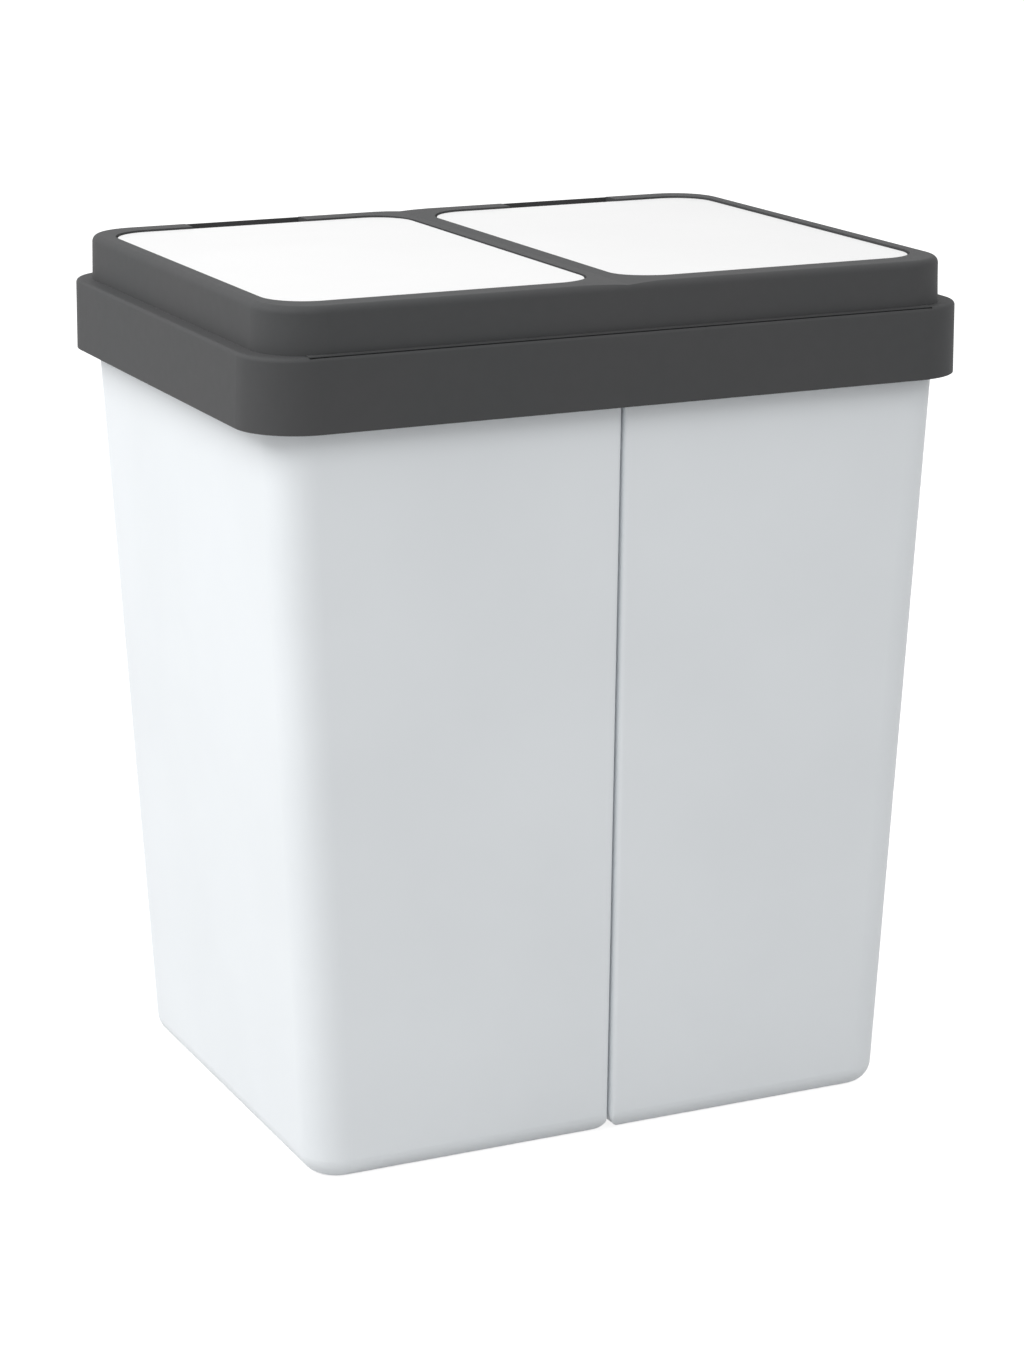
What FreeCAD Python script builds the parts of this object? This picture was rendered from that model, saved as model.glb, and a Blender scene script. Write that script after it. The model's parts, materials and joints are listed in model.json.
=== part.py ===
import FreeCAD, Part
import math
import os

from FreeCAD import Vector

# Double recycling bin: two tapered buckets side by side under one two-bay frame with two flush hinged lids.
# Frame of the part: origin on the floor under the middle of the bin, +X to the right along the front,
# +Y to the back, +Z up. Every length is in millimetres.

# ---- driving dimensions ----
DRAFT = math.tan(math.radians(1.45))      # inward draft of the two frame walls, per mm of height

BAND_HALF_X = 215.0                       # outside of the band at its lower edge
BAND_HALF_Y = 163.0
BAND_CORNER_R = 35.3
BAND_TOP_R = 32.5                         # the band's corners tighten a little towards the ledge
BAND_Z0 = 428.6                           # lower edge of the band
LEDGE_Z = 468.8                           # top of the band, where the upper frame stands
BAND_WALL = 2.4
BAND_LIP_R = 2.2                          # rounding of the band's top outer edge

TIER_HALF_X = 205.1                       # outside of the upper frame at its foot
TIER_HALF_Y = 157.4
TIER_CORNER_R = 31.1
TIER_TOP_Z = 494.3
TIER_WALL = 2.4
TIER_EDGE_R = 4.0                         # soft outer edge of the upper frame's top
VALLEY_HALF = 26.0                        # shallow valley between the bays, where the halves' outlines meet
VALLEY_DEEP = 1.05
TOP_PLATE = 2.4                           # thickness of the upper frame's top

LID_X0 = 8.75                             # lid panel, side next to the middle bar
LID_X1 = 193.5
LID_Y0 = -138.3
LID_Y1 = 139.0
LID_CORNER_R = 24.3
LID_TOP_Z = 493.3
LID_PLATE = 2.4
LID_EDGE_TAPER = 1.8                      # the lid's edge leans in by this much at its underside
LID_CROWN_R = 0.4                         # softened upper edge of the lid
LID_GAP = 0.9                             # gap round a lid
REST_WIDTH = 5.5                          # width of the step that a lid rests on
REST_PLATE = 2.2

BUCKET_GAP = 0.75                         # seam wall of a bucket from the middle plane
BUCKET_TOP_X = 201.75                     # half sizes at the height of the band's lower edge
BUCKET_TOP_Y = 150.9
BUCKET_FOOT_X = 181.1                     # half sizes at the floor
BUCKET_FOOT_Y = 138.9
BUCKET_R = 21.6
BUCKET_SEAM_R = 3.0
BUCKET_BOTTOM_R = 12.8
BUCKET_WALL = 2.2
RIM_THICK = 2.4                           # out-turned rim that carries the frame
RIM_CLEAR = 1.1                           # air between the rim and the inside of the band
RIM_SKIRT = 9.0
FOOT_INSET = 24.0                         # raised middle of a bucket's underside
FOOT_LIFT = 1.2

SLOT_X0 = 67.0                            # hinge recess in the rear rim
SLOT_X1 = 139.5
SLOT_Y0 = 134.0
SLOT_WALL = 2.3                           # rear wall left behind the recess
SLOT_DROP = 0.45                          # rear wall is this much lower across the recess
SLOT_FLOOR_Z = 484.0
CHEEK = 5.0
PIN_Y = 147.5
PIN_Z = 488.0
PIN_R = 1.5
PIN_SEAT_R = 1.52                         # seat in the recess cheeks
KNUCKLE_BORE_R = 1.56                     # running fit on the pin
KNUCKLE_R = 3.2
STRAP_PLATE = 2.2
KNUCKLE_WIDTH = 16.0

SCREW_X = (30.0, 165.0)                   # screws that join band and upper frame
SCREW_Y = 141.5
SCREW_R = 1.5
SCREW_HEAD_R = 3.2
BOSS_R = 4.2

STRIP_HALF_X = 185.5                      # flat strip along the foot of the front wall, over a shadow slot
STRIP_Y = 160.7
STRIP_RISE = 0.6                          # strip's top above the ledge
STRIP_SLOT = 0.7                          # depth of the slot below it
STRIP_BACK = 1.6                          # the strip overhangs the slot by this much

STRAP_Y0 = 104.0
STRAP_SIDE = 2.0                          # strap to recess wall
STRAP_SCREW_X = (78.0, 103.25, 128.5)
STRAP_SCREW_Y = 114.0
STRAP_SCREW_R = 1.3


def outline(x0, x1, y0, y1, radii, z):
    """Closed wire of a rectangle with its own radius at each corner; radii run x0y0, x1y0, x1y1, x0y1."""
    ra, rb, rc, rd = radii
    s = math.sqrt(0.5)
    edges = []

    def line(p, q):
        if (q - p).Length > 1e-6:
            edges.append(Part.makeLine(p, q))

    def arc(centre, r, start, middle, end):
        if r > 1e-6:
            points = [Vector(centre[0] + r * d[0], centre[1] + r * d[1], z) for d in (start, middle, end)]
            edges.append(Part.Arc(*points).toShape())

    line(Vector(x0 + ra, y0, z), Vector(x1 - rb, y0, z))
    arc((x1 - rb, y0 + rb), rb, (0, -1), (s, -s), (1, 0))
    line(Vector(x1, y0 + rb, z), Vector(x1, y1 - rc, z))
    arc((x1 - rc, y1 - rc), rc, (1, 0), (s, s), (0, 1))
    line(Vector(x1 - rc, y1, z), Vector(x0 + rd, y1, z))
    arc((x0 + rd, y1 - rd), rd, (0, 1), (-s, s), (-1, 0))
    line(Vector(x0, y1 - rd, z), Vector(x0, y0 + ra, z))
    arc((x0 + ra, y0 + ra), ra, (-1, 0), (-s, -s), (0, -1))
    return Part.Wire(edges)


def ring_outline(half_x, half_y, r, z):
    """Outline centred on the bin."""
    return outline(-half_x, half_x, -half_y, half_y, (r, r, r, r), z)


def lid_outline(grow, z):
    """Outline of the right-hand lid, grown by some millimetres."""
    r = LID_CORNER_R + grow
    return outline(LID_X0 - grow, LID_X1 + grow, LID_Y0 - grow, LID_Y1 + grow, (r, r, r, r), z)


def prism(wire, height):
    return Part.Face(wire).extrude(Vector(0, 0, height))


def loft(low, high):
    return Part.makeLoft([low, high], True, True)


def box(x0, x1, y0, y1, z0, z1):
    return Part.makeBox(x1 - x0, y1 - y0, z1 - z0, Vector(x0, y0, z0))


def across(shape):
    """The same shape on the left-hand side."""
    return shape.mirror(Vector(0, 0, 0), Vector(1, 0, 0))


def both(shape):
    return [shape, across(shape)]


def outer_top_edges(shape, z):
    """Edges of the outermost loop at height z."""
    face = max((f for f in shape.Faces if abs(f.BoundBox.ZMin - z) < 1e-4 and f.BoundBox.ZLength < 1e-4),
               key=lambda f: f.BoundBox.DiagonalLength)
    return face.OuterWire.Edges


def bucket_half(z, inset):
    """Half sizes of a bucket's outside at height z, drawn in by inset."""
    t = z / BAND_Z0
    half_x = BUCKET_FOOT_X + (BUCKET_TOP_X - BUCKET_FOOT_X) * t - inset
    half_y = BUCKET_FOOT_Y + (BUCKET_TOP_Y - BUCKET_FOOT_Y) * t - inset
    return half_x, half_y


def bucket_form(z0, z1, inset, bottom_r, seam_r):
    """Tapered block of a bucket with its rounded foot, trimmed by a wider form that has the seam corners."""
    x0 = BUCKET_GAP + inset
    block, trim = [], []
    for z in (z0, z1):
        half_x, half_y = bucket_half(z, inset)
        r = BUCKET_R - inset
        block.append(outline(x0, half_x, -half_y, half_y, (0, r, r, 0), z))
        trim.append(outline(x0, BUCKET_TOP_X + 50, -half_y, half_y, (seam_r, 0, 0, seam_r), z))
    block = loft(*block)
    foot = [e for e in block.Edges if e.BoundBox.ZMax < z0 + 1e-4]
    return block.makeFillet(bottom_r, foot).common(loft(*trim))


def bucket():
    """Right-hand bucket: tapered shell, out-turned rim with a skirt, raised middle of the foot."""
    rim_z = LEDGE_Z - BAND_WALL
    outer = bucket_form(0.0, rim_z, 0.0, BUCKET_BOTTOM_R, BUCKET_SEAM_R)
    rise = (rim_z - BAND_Z0) * DRAFT
    reach_x = BAND_HALF_X - BAND_WALL - rise - RIM_CLEAR
    reach_y = BAND_HALF_Y - BAND_WALL - rise - RIM_CLEAR
    reach_r = BAND_CORNER_R - BAND_WALL - rise - RIM_CLEAR
    skirt_out = outline(BUCKET_GAP, reach_x, -reach_y, reach_y, (0, reach_r, reach_r, 0), rim_z - RIM_SKIRT)
    rim = prism(skirt_out, RIM_SKIRT)
    r_in = reach_r - BUCKET_WALL
    hollow = outline(-5.0, reach_x - BUCKET_WALL, -reach_y + BUCKET_WALL, reach_y - BUCKET_WALL,
                     (0, r_in, r_in, 0), rim_z - RIM_SKIRT - 1)
    rim = rim.cut(prism(hollow, RIM_SKIRT + 1 - RIM_THICK))
    body = outer.fuse(rim)
    cavity = bucket_form(BUCKET_WALL + 0.3, rim_z + 5, BUCKET_WALL, BUCKET_BOTTOM_R - BUCKET_WALL, 0.8)
    body = body.cut(cavity)
    half_x, half_y = bucket_half(0, FOOT_INSET)
    raised = outline(BUCKET_GAP + FOOT_INSET, half_x, -half_y, half_y, (8, 8, 8, 8), -1)
    body = body.cut(prism(raised, 1 + FOOT_LIFT))
    return body.removeSplitter()


def locating_wall():
    """Wall under the band's ledge that drops inside the right-hand bucket's mouth."""
    low = LEDGE_Z - 22.0
    half_x, half_y = bucket_half(LEDGE_Z - 8, BUCKET_WALL + 1.6)
    r = BUCKET_R - BUCKET_WALL - 1.6
    x0 = BUCKET_GAP + BUCKET_WALL + 1.5
    outer = prism(outline(x0, half_x, -half_y, half_y, (2.4, r, r, 2.4), low), LEDGE_Z - 1.0 - low)
    w = 2.0
    inner = prism(outline(x0 + w, half_x - w, -half_y + w, half_y - w, (0.4, r - w, r - w, 0.4), low - 1),
                  LEDGE_Z + 2 - low)
    return outer.cut(inner)


def band_ring():
    """Lower ring: drafted skirt, rounded lip, ledge, locating walls and the middle bar on both buckets."""
    rise = (LEDGE_Z - BAND_Z0) * DRAFT
    outer = loft(ring_outline(BAND_HALF_X, BAND_HALF_Y, BAND_CORNER_R, BAND_Z0),
                 ring_outline(BAND_HALF_X - rise, BAND_HALF_Y - rise, BAND_TOP_R, LEDGE_Z))
    outer = outer.makeFillet(BAND_LIP_R, outer_top_edges(outer, LEDGE_Z))
    w = BAND_WALL
    top = LEDGE_Z - w
    rise = (top - BAND_Z0) * DRAFT
    hollow = loft(ring_outline(BAND_HALF_X - w, BAND_HALF_Y - w, BAND_CORNER_R - w, BAND_Z0),
                  ring_outline(BAND_HALF_X - w - rise, BAND_HALF_Y - w - rise, BAND_TOP_R - w, top))
    body = outer.cut(hollow)
    bay = prism(lid_outline(-REST_WIDTH + 1.0, top - 1), w + 2)
    body = body.cut(bay).cut(across(bay))
    for wall in both(locating_wall()):
        body = body.fuse(wall)
    for x in SCREW_X:
        for sx in (-1, 1):
            for sy in (-1, 1):
                body = body.cut(Part.makeCylinder(SCREW_R + 0.3, 12, Vector(sx * x, sy * SCREW_Y, top - 4)))
    seat = box(-STRIP_HALF_X - 0.3, STRIP_HALF_X + 0.3, -STRIP_Y - 0.5, -TIER_HALF_Y + 5,
               LEDGE_Z - STRIP_SLOT, LEDGE_Z + 1)
    body = body.cut(seat)
    return body.removeSplitter()


def valley():
    """Cutter for the shallow valley: two arcs, level at its flanks, that meet in the middle plane."""
    radius = (VALLEY_HALF ** 2 + VALLEY_DEEP ** 2) / (2 * VALLEY_DEEP)
    y = -TIER_HALF_Y - 2

    def on_arc(x):
        return Vector(x, y, TIER_TOP_Z - radius + math.sqrt(radius ** 2 - (VALLEY_HALF - abs(x)) ** 2))

    left = Part.Arc(on_arc(-VALLEY_HALF), on_arc(-VALLEY_HALF / 2), on_arc(0)).toShape()
    right = Part.Arc(on_arc(0), on_arc(VALLEY_HALF / 2), on_arc(VALLEY_HALF)).toShape()
    roof = [Part.makeLine(on_arc(VALLEY_HALF), Vector(VALLEY_HALF, y, TIER_TOP_Z + 2)),
            Part.makeLine(Vector(VALLEY_HALF, y, TIER_TOP_Z + 2), Vector(-VALLEY_HALF, y, TIER_TOP_Z + 2)),
            Part.makeLine(Vector(-VALLEY_HALF, y, TIER_TOP_Z + 2), on_arc(-VALLEY_HALF))]
    return Part.Face(Part.Wire([left, right] + roof)).extrude(Vector(0, 2 * TIER_HALF_Y + 4, 0))


def rim_frame():
    """Upper frame: drafted wall, flat top with two lid bays, rests, middle webs, bosses, hinge recesses."""
    rise = (TIER_TOP_Z - LEDGE_Z) * DRAFT
    outer = loft(ring_outline(TIER_HALF_X, TIER_HALF_Y, TIER_CORNER_R, LEDGE_Z),
                 ring_outline(TIER_HALF_X - rise, TIER_HALF_Y - rise, TIER_CORNER_R - rise, TIER_TOP_Z))
    outer = outer.makeFillet(TIER_EDGE_R, outer_top_edges(outer, TIER_TOP_Z)).cut(valley())
    w = TIER_WALL
    under = TIER_TOP_Z - TOP_PLATE
    rise = (under - LEDGE_Z) * DRAFT
    hollow = loft(ring_outline(TIER_HALF_X - w, TIER_HALF_Y - w, TIER_CORNER_R - w, LEDGE_Z),
                  ring_outline(TIER_HALF_X - w - rise, TIER_HALF_Y - w - rise, TIER_CORNER_R - w - rise, under))
    body = outer.cut(hollow)
    rest_z = LID_TOP_Z - LID_PLATE
    low = rest_z - REST_PLATE
    parts = []
    for side in both(prism(lid_outline(LID_GAP + w, low), under - low + 0.5)):
        parts.append(side)
    parts.append(box(-7.4, -5.2, -TIER_HALF_Y + 1.5, TIER_HALF_Y - 1.5, LEDGE_Z, under + 0.5))
    parts.append(box(5.2, 7.4, -TIER_HALF_Y + 1.5, TIER_HALF_Y - 1.5, LEDGE_Z, under + 0.5))
    for x in SCREW_X:
        for sx in (-1, 1):
            for sy in (-1, 1):
                parts.append(Part.makeCylinder(BOSS_R, under + 0.5 - LEDGE_Z,
                                               Vector(sx * x, sy * SCREW_Y, LEDGE_Z)))
                y0, y1 = sorted((sy * SCREW_Y, sy * (TIER_HALF_Y - 1.5)))
                parts.append(box(sx * x - 0.9, sx * x + 0.9, y0, y1, LEDGE_Z + 2, under + 0.5))
    rear = TIER_HALF_Y - 1.2
    for block in both(box(SLOT_X0 - CHEEK, SLOT_X1 + CHEEK, SLOT_Y0, rear, SLOT_FLOOR_Z - 1.8, under + 0.5)):
        parts.append(block)
    parts.append(box(-STRIP_HALF_X, STRIP_HALF_X, -STRIP_Y, -TIER_HALF_Y + 2, LEDGE_Z, LEDGE_Z + STRIP_RISE))
    parts.append(box(-STRIP_HALF_X, STRIP_HALF_X, -STRIP_Y + STRIP_BACK, -TIER_HALF_Y + 2,
                     LEDGE_Z - STRIP_SLOT, LEDGE_Z))
    body = body.multiFuse(parts)
    for sx in (1, -1):
        bay = prism(lid_outline(LID_GAP, rest_z), 10)
        through = prism(lid_outline(-REST_WIDTH, LEDGE_Z - 5), 40)
        slot = box(SLOT_X0, SLOT_X1, SLOT_Y0 - 10, rear - SLOT_WALL + 0.6, SLOT_FLOOR_Z, TIER_TOP_Z + 1)
        drop = box(SLOT_X0, SLOT_X1, 140, TIER_HALF_Y + 1, TIER_TOP_Z - SLOT_DROP, TIER_TOP_Z + 1)
        seat = Part.makeCylinder(PIN_SEAT_R, SLOT_X1 - SLOT_X0 + 2 * CHEEK - 2.0,
                                 Vector(SLOT_X0 - CHEEK + 1.0, PIN_Y, PIN_Z), Vector(1, 0, 0))
        for tool in (bay, through, slot, drop, seat):
            body = body.cut(tool if sx > 0 else across(tool))
    for x in SCREW_X:
        for sx in (-1, 1):
            for sy in (-1, 1):
                body = body.cut(Part.makeCylinder(SCREW_R, 12, Vector(sx * x, sy * SCREW_Y, LEDGE_Z - 1)))
    return body.removeSplitter()


def lid_panel():
    """Right-hand lid: flat plate with a tapering edge, stiffening frame and bosses below."""
    low = LID_TOP_Z - LID_PLATE
    crown = LID_CROWN_R * 0.55
    plate = loft(lid_outline(-LID_EDGE_TAPER, low), lid_outline(crown, LID_TOP_Z))
    plate = plate.makeFillet(LID_CROWN_R, outer_top_edges(plate, LID_TOP_Z))
    deep = 3.0
    ring = prism(lid_outline(-9.0, low - deep), deep + 0.5).cut(prism(lid_outline(-10.8, low - deep - 1), deep + 3))
    parts = [ring]
    x_mid = (LID_X0 + LID_X1) / 2
    parts.append(box(x_mid - 0.8, x_mid + 0.8, LID_Y0 + 10, STRAP_Y0 - 2, low - deep, low + 0.5))
    for y in (-80.0, -25.0, 30.0, 85.0):
        parts.append(box(LID_X0 + 10, LID_X1 - 10, y - 0.8, y + 0.8, low - deep, low + 0.5))
    body = plate.multiFuse(parts)
    strap_top = PIN_Z + STRAP_PLATE / 2
    body = body.cut(box(SLOT_X0 - 2, SLOT_X1 + 2, STRAP_Y0 - 1, LID_Y1 - 1, low - deep - 1, low))
    for x in STRAP_SCREW_X:
        body = body.fuse(Part.makeCylinder(BOSS_R, low + 0.5 - strap_top, Vector(x, STRAP_SCREW_Y, strap_top)))
        body = body.cut(Part.makeCylinder(STRAP_SCREW_R, low + 1.2 - strap_top, Vector(x, STRAP_SCREW_Y, strap_top)))
    return body.removeSplitter()


def hinge_strap():
    """Right-hand hinge strap: plate under the lid that ends in two knuckles on the pin."""
    x0, x1 = SLOT_X0 + STRAP_SIDE, SLOT_X1 - STRAP_SIDE
    z0, z1 = PIN_Z - STRAP_PLATE / 2, PIN_Z + STRAP_PLATE / 2
    plate = prism(outline(x0, x1, STRAP_Y0, SLOT_Y0 + 3.0, (5, 5, 1, 1), z0), STRAP_PLATE)
    parts = []
    for x in (x0, x1 - KNUCKLE_WIDTH):
        parts.append(box(x, x + KNUCKLE_WIDTH, SLOT_Y0, PIN_Y, z0, z1))
        parts.append(Part.makeCylinder(KNUCKLE_R, KNUCKLE_WIDTH, Vector(x, PIN_Y, PIN_Z), Vector(1, 0, 0)))
    body = plate.multiFuse(parts)
    body = body.cut(Part.makeCylinder(KNUCKLE_BORE_R, x1 - x0 + 4, Vector(x0 - 2, PIN_Y, PIN_Z), Vector(1, 0, 0)))
    for x in STRAP_SCREW_X:
        body = body.cut(Part.makeCylinder(STRAP_SCREW_R + 0.3, 6, Vector(x, STRAP_SCREW_Y, z0 - 1)))
    return body.removeSplitter()


def hinge_pin():
    """Right-hand hinge pin, seated in both cheeks of the recess."""
    length = SLOT_X1 - SLOT_X0 + 2 * CHEEK - 2.6
    return Part.makeCylinder(PIN_R, length, Vector(SLOT_X0 - CHEEK + 1.3, PIN_Y, PIN_Z), Vector(1, 0, 0))


def screw(x, y, z_head, r, length, head_r, head_h):
    """Pan-head screw pointing up, its head's bearing face at z_head."""
    shank = Part.makeCylinder(r, length, Vector(x, y, z_head))
    head = Part.makeCylinder(head_r, head_h, Vector(x, y, z_head - head_h))
    low = [e for e in head.Edges if e.BoundBox.ZMax < z_head - head_h + 1e-4]
    head = head.makeFillet(head_h * 0.45, low)
    cross = box(x - head_r * 0.6, x + head_r * 0.6, y - 0.35, y + 0.35, z_head - head_h - 1, z_head - head_h + 1.0)
    other = box(x - 0.35, x + 0.35, y - head_r * 0.6, y + head_r * 0.6, z_head - head_h - 1, z_head - head_h + 1.0)
    return shank.fuse(head).cut(cross).cut(other)


def frame_screws():
    """Screws that hold the band under the upper frame."""
    group = []
    for x in SCREW_X:
        for sx in (-1, 1):
            for sy in (-1, 1):
                group.append(screw(sx * x, sy * SCREW_Y, LEDGE_Z - BAND_WALL, SCREW_R - 0.02, 10.0, SCREW_HEAD_R, 2.2))
    return Part.makeCompound(group)


def strap_screws():
    """Screws that hold the right-hand strap under its lid."""
    z = PIN_Z - STRAP_PLATE / 2
    group = [screw(x, STRAP_SCREW_Y, z, STRAP_SCREW_R - 0.02, 4.6, 2.6, 1.6) for x in STRAP_SCREW_X]
    return Part.makeCompound(group)


def save(shape, node):
    shape.exportStep("parts/" + node + ".step")


def main():
    os.makedirs("parts", exist_ok=True)
    save(band_ring(), "band_ring")
    save(rim_frame(), "rim_frame")
    save(frame_screws(), "frame_screws")
    for make, node in ((bucket, "bucket"), (lid_panel, "lid_panel"), (hinge_strap, "hinge_strap"),
                       (hinge_pin, "hinge_pin"), (strap_screws, "strap_screws")):
        shape = make()
        save(shape, node + "_right")
        save(across(shape), node + "_left")


main()
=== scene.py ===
import json

import bmesh
import bpy
from mathutils import Matrix, Vector

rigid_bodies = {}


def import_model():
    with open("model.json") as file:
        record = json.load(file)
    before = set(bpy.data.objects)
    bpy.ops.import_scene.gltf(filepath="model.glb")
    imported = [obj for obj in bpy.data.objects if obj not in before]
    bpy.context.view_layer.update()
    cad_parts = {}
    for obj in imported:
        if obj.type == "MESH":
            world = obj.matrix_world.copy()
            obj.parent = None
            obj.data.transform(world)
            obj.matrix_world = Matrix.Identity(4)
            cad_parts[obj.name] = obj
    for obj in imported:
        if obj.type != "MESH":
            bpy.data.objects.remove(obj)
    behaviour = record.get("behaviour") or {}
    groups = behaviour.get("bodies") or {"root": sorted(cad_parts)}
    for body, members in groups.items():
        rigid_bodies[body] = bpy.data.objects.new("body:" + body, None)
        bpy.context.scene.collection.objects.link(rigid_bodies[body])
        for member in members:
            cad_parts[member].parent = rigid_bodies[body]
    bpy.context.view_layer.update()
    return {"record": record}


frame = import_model()
scene = bpy.context.scene


# ---- camera: the photograph's viewpoint, in metres ----
PHOTO_HEIGHT_PX = 1365
FOCAL_PX = 3538.1
SENSOR_MM = 36.0
HALF_PIXEL = 0.5
CAMERA_PLACE = Vector((-0.8460, -1.8289, 0.7944))
CAMERA_RIGHT = Vector((0.9069, -0.4214, -0.0007))
CAMERA_UP = Vector((0.1136, 0.2428, 0.9634))

camera_data = bpy.data.cameras.new("photo_camera")
camera_data.sensor_width = SENSOR_MM
camera_data.lens = FOCAL_PX * SENSOR_MM / PHOTO_HEIGHT_PX
camera_data.shift_x = -HALF_PIXEL / PHOTO_HEIGHT_PX
camera_data.shift_y = HALF_PIXEL / PHOTO_HEIGHT_PX
camera = bpy.data.objects.new("photo_camera", camera_data)
scene.collection.objects.link(camera)
back = CAMERA_RIGHT.cross(CAMERA_UP).normalized()
turn = Matrix((CAMERA_RIGHT.normalized(), back.cross(CAMERA_RIGHT).normalized(), back)).transposed()
camera.matrix_world = Matrix.Translation(CAMERA_PLACE) @ turn.to_4x4()
scene.camera = camera


# ---- materials ----
MM_PER_METRE = 1000.0
PLASTIC_IOR = 1.49                        # polypropylene
CLOUD_MM = 111.1                          # milky flow clouding, about a hand wide
SKIN_MM = 7.143                           # satin and duller patches of the skin
SPANGLE_MM = 1.4286                       # clouding of the zinc
BUMP_HEIGHT = 0.0001                      # a tenth of a millimetre, scaled by each grain's depth
DRIFT_START = 0.35                        # the middle values of a pattern, where one shade
DRIFT_END = 0.65                          # drifts into the other


def srgb(code):
    """Linear colour of an sRGB hex value."""
    parts = [int(code[i:i + 2], 16) / 255 for i in (1, 3, 5)]
    linear = [p / 12.92 if p <= 0.04045 else ((p + 0.055) / 1.055) ** 2.4 for p in parts]
    return (*linear, 1.0)


def add(tree, kind, settings=None, links=None):
    """One node with its settings, and its inputs set to values or joined to other nodes' outputs."""
    node = tree.nodes.new(kind)
    for name, value in (settings or {}).items():
        setattr(node, name, value)
    for name, value in (links or {}).items():
        if isinstance(value, bpy.types.NodeSocket):
            tree.links.new(value, node.inputs[name])
        else:
            node.inputs[name].default_value = value
    return node


def material(name):
    """An empty node material, its tree and its output."""
    made = bpy.data.materials.new(name)
    made.use_nodes = True
    made.node_tree.nodes.clear()
    return made, made.node_tree, add(made.node_tree, "ShaderNodeOutputMaterial")


def clouded_shade(tree, pattern, low, high):
    """A shade that drifts into another one with a pattern."""
    share = add(tree, "ShaderNodeMapRange",
                links={"Value": pattern, "From Min": DRIFT_START, "From Max": DRIFT_END})
    shade = add(tree, "ShaderNodeMixRGB",
                links={"Fac": share.outputs["Result"], "Color1": srgb(low), "Color2": srgb(high)})
    return shade.outputs["Color"]


def moulded_polypropylene(name, shade, cloud, rough_low, rough_high, grain_mm, grain_depth):
    """Moulded polypropylene: milky flow clouding, a satin skin and the mould's fine grain.

    The real grain is finer than a pixel here, so it is drawn just coarse enough to show."""
    made, tree, out = material(name)
    place = add(tree, "ShaderNodeTexCoord").outputs["Object"]
    clouds = add(tree, "ShaderNodeTexNoise",
                 links={"Vector": place, "Scale": MM_PER_METRE / CLOUD_MM, "Detail": 3.0})
    skin = add(tree, "ShaderNodeTexNoise",
               links={"Vector": place, "Scale": MM_PER_METRE / SKIN_MM, "Detail": 4.0})
    rough = add(tree, "ShaderNodeMapRange",
                links={"Value": skin.outputs["Fac"], "To Min": rough_low, "To Max": rough_high})
    grain = add(tree, "ShaderNodeTexNoise",
                links={"Vector": place, "Scale": MM_PER_METRE / grain_mm, "Detail": 2.0})
    bump = add(tree, "ShaderNodeBump",
               links={"Height": grain.outputs["Fac"], "Strength": grain_depth, "Distance": BUMP_HEIGHT})
    shader = add(tree, "ShaderNodeBsdfPrincipled",
                 links={"Base Color": clouded_shade(tree, clouds.outputs["Fac"], cloud, shade),
                        "Roughness": rough.outputs["Result"], "IOR": PLASTIC_IOR,
                        "Normal": bump.outputs["Normal"]})
    tree.links.new(shader.outputs["BSDF"], out.inputs["Surface"])
    return made


def zinc_plated_steel():
    """Zinc-plated steel of pins and screws: pale cool metal with a slightly clouded shine."""
    made, tree, out = material("zinc_plated_steel")
    place = add(tree, "ShaderNodeTexCoord").outputs["Object"]
    spangle = add(tree, "ShaderNodeTexNoise",
                  links={"Vector": place, "Scale": MM_PER_METRE / SPANGLE_MM, "Detail": 2.0})
    rough = add(tree, "ShaderNodeMapRange",
                links={"Value": spangle.outputs["Fac"], "To Min": 0.26, "To Max": 0.40})
    shader = add(tree, "ShaderNodeBsdfPrincipled",
                 links={"Base Color": clouded_shade(tree, spangle.outputs["Fac"], "#a9acb0", "#c3c6c9"),
                        "Metallic": 1.0, "Roughness": rough.outputs["Result"]})
    tree.links.new(shader.outputs["BSDF"], out.inputs["Surface"])
    return made


# White polypropylene of the buckets: satin, a touch blue, soft broad highlights.
BUCKET_WHITE = moulded_polypropylene(
    "white_moulded_polypropylene", shade="#eff3f6", cloud="#ecf0f3",
    rough_low=0.46, rough_high=0.54, grain_mm=0.9, grain_depth=0.10)
# White polypropylene of the lids from a polished mould: neutral, smoother, a faint sheen at a low angle.
LID_WHITE = moulded_polypropylene(
    "white_polished_polypropylene", shade="#e7e7e7", cloud="#e5e5e5",
    rough_low=0.38, rough_high=0.44, grain_mm=0.9, grain_depth=0.05)
# Anthracite polypropylene with a spark-eroded grain: matt, it lifts to mid grey where light rakes it.
FRAME_GREY = moulded_polypropylene(
    "anthracite_grained_polypropylene", shade="#3f3f40", cloud="#3d3e3f",
    rough_low=0.72, rough_high=0.80, grain_mm=0.7, grain_depth=0.22)
STEEL = zinc_plated_steel()

FINISH = {"bucket_plastic": BUCKET_WHITE, "lid_plastic": LID_WHITE,
          "frame_plastic": FRAME_GREY, "steel": STEEL}
for entry in frame["record"]["subparts"]:
    node = bpy.data.objects[entry["node"]]
    node.data.materials.clear()
    node.data.materials.append(FINISH[entry["material_slot"]])


# ---- floor, background and light ----
FLOOR_HALF = 30.0                         # the floor reaches past the picture's edges
FLOOR_VEIL = 0.85                         # lifts the pale floor to white for the camera and in reflections
WORLD_LIGHT = 0.66                        # soft light from all round
WORLD_SHOWN = 1.0                         # white behind the object
LAMP_AIM = Vector((0, 0, 0.25))           # the middle of the object


def shown_rays(tree):
    """One for rays from the camera and for reflections, nought for light that falls on the object."""
    ray = add(tree, "ShaderNodeLightPath")
    shown = add(tree, "ShaderNodeMath", {"operation": "MAXIMUM"},
                {0: ray.outputs["Is Camera Ray"], 1: ray.outputs["Is Glossy Ray"]})
    return shown.outputs[0]


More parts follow.
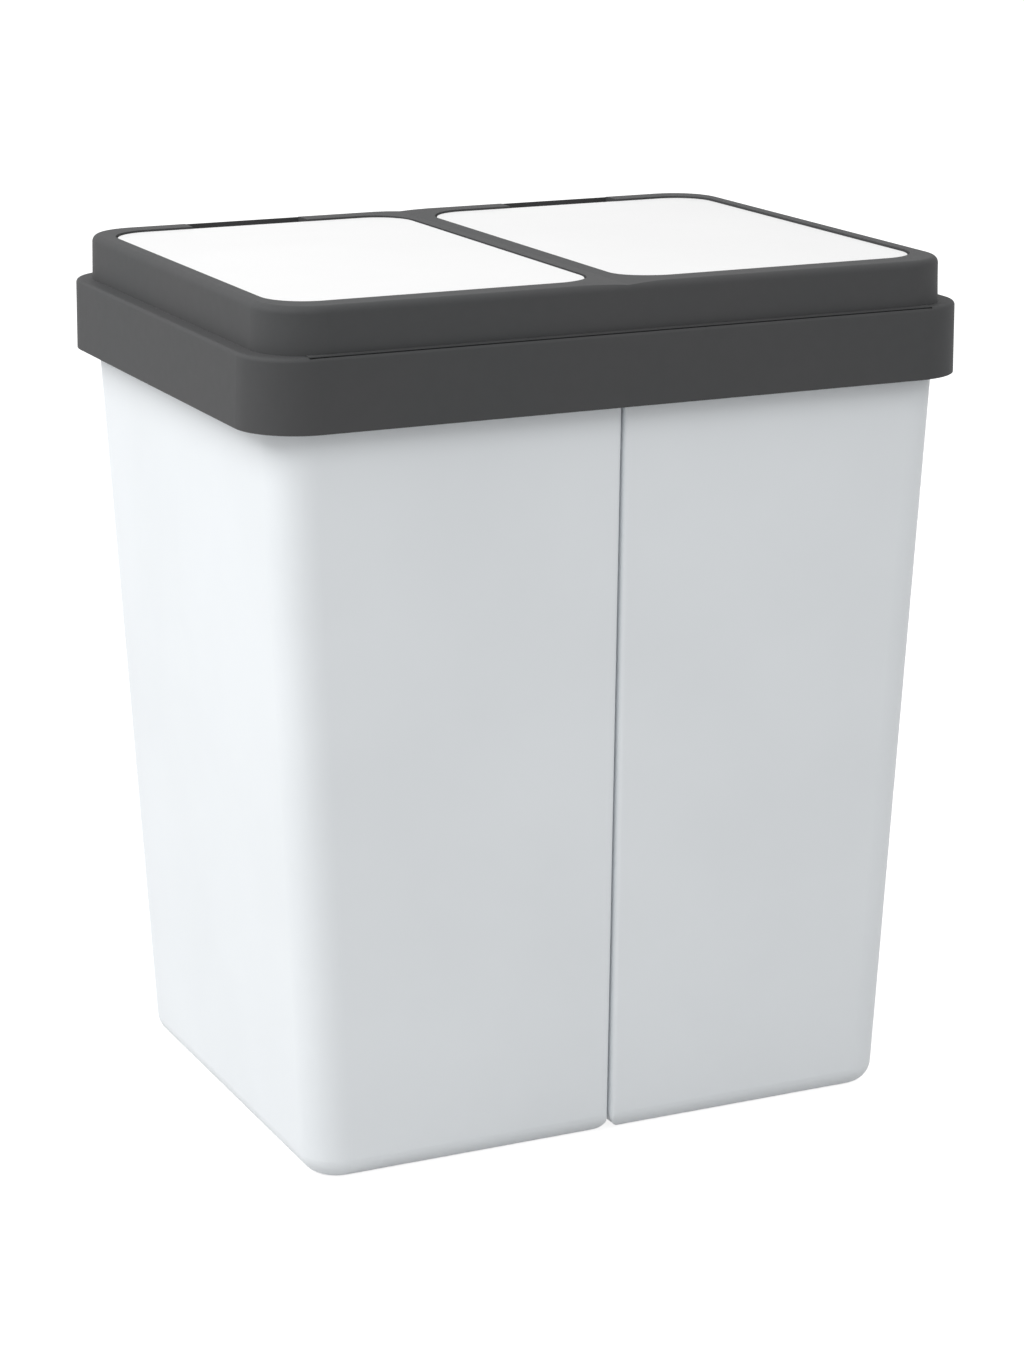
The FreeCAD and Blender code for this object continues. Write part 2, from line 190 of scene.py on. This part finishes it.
def studio_floor_paint():
    """Matt pale paint under a white veil: the floor looks white and keeps the object's shadow."""
    made, tree, out = material("studio_floor_paint")
    matt = add(tree, "ShaderNodeBsdfDiffuse", links={"Color": srgb("#b8b8b8")})
    strength = add(tree, "ShaderNodeMath", {"operation": "MULTIPLY"}, {0: shown_rays(tree), 1: FLOOR_VEIL})
    veil = add(tree, "ShaderNodeEmission",
               links={"Color": srgb("#ffffff"), "Strength": strength.outputs[0]})
    coat = add(tree, "ShaderNodeAddShader", links={0: matt.outputs["BSDF"], 1: veil.outputs["Emission"]})
    tree.links.new(coat.outputs[0], out.inputs["Surface"])
    return made


def floor():
    """One large square under the object."""
    form = bmesh.new()
    bmesh.ops.create_grid(form, x_segments=1, y_segments=1, size=FLOOR_HALF)
    mesh = bpy.data.meshes.new("studio_floor")
    form.to_mesh(mesh)
    form.free()
    mesh.materials.append(studio_floor_paint())
    made = bpy.data.objects.new("studio_floor", mesh)
    scene.collection.objects.link(made)


def world():
    """Even white surroundings: soft on the object, plain white to the camera and in reflections."""
    made = bpy.data.worlds.new("studio_world")
    made.use_nodes = True
    tree = made.node_tree
    tree.nodes.clear()
    lit = add(tree, "ShaderNodeBackground", links={"Color": srgb("#ffffff"), "Strength": WORLD_LIGHT})
    shown = add(tree, "ShaderNodeBackground", links={"Color": srgb("#ffffff"), "Strength": WORLD_SHOWN})
    mix = add(tree, "ShaderNodeMixShader",
              links={0: shown_rays(tree), 1: lit.outputs[0], 2: shown.outputs[0]})
    tree.links.new(mix.outputs[0], add(tree, "ShaderNodeOutputWorld").inputs["Surface"])
    scene.world = made


def softbox(name, place, size, watts):
    """A soft square lamp that faces the object."""
    data = bpy.data.lights.new(name, "AREA")
    data.shape = "SQUARE"
    data.size = size
    data.energy = watts
    made = bpy.data.objects.new(name, data)
    scene.collection.objects.link(made)
    made.location = place
    made.rotation_mode = "QUATERNION"
    made.rotation_quaternion = (LAMP_AIM - Vector(place)).to_track_quat("-Z", "Y")


floor()
world()
softbox("left_softbox", place=(-1.9, 0.2, 2.2), size=1.6, watts=44.0)
softbox("front_softbox", place=(-0.6, -2.2, 2.4), size=1.4, watts=16.0)

scene.view_settings.view_transform = "Standard"
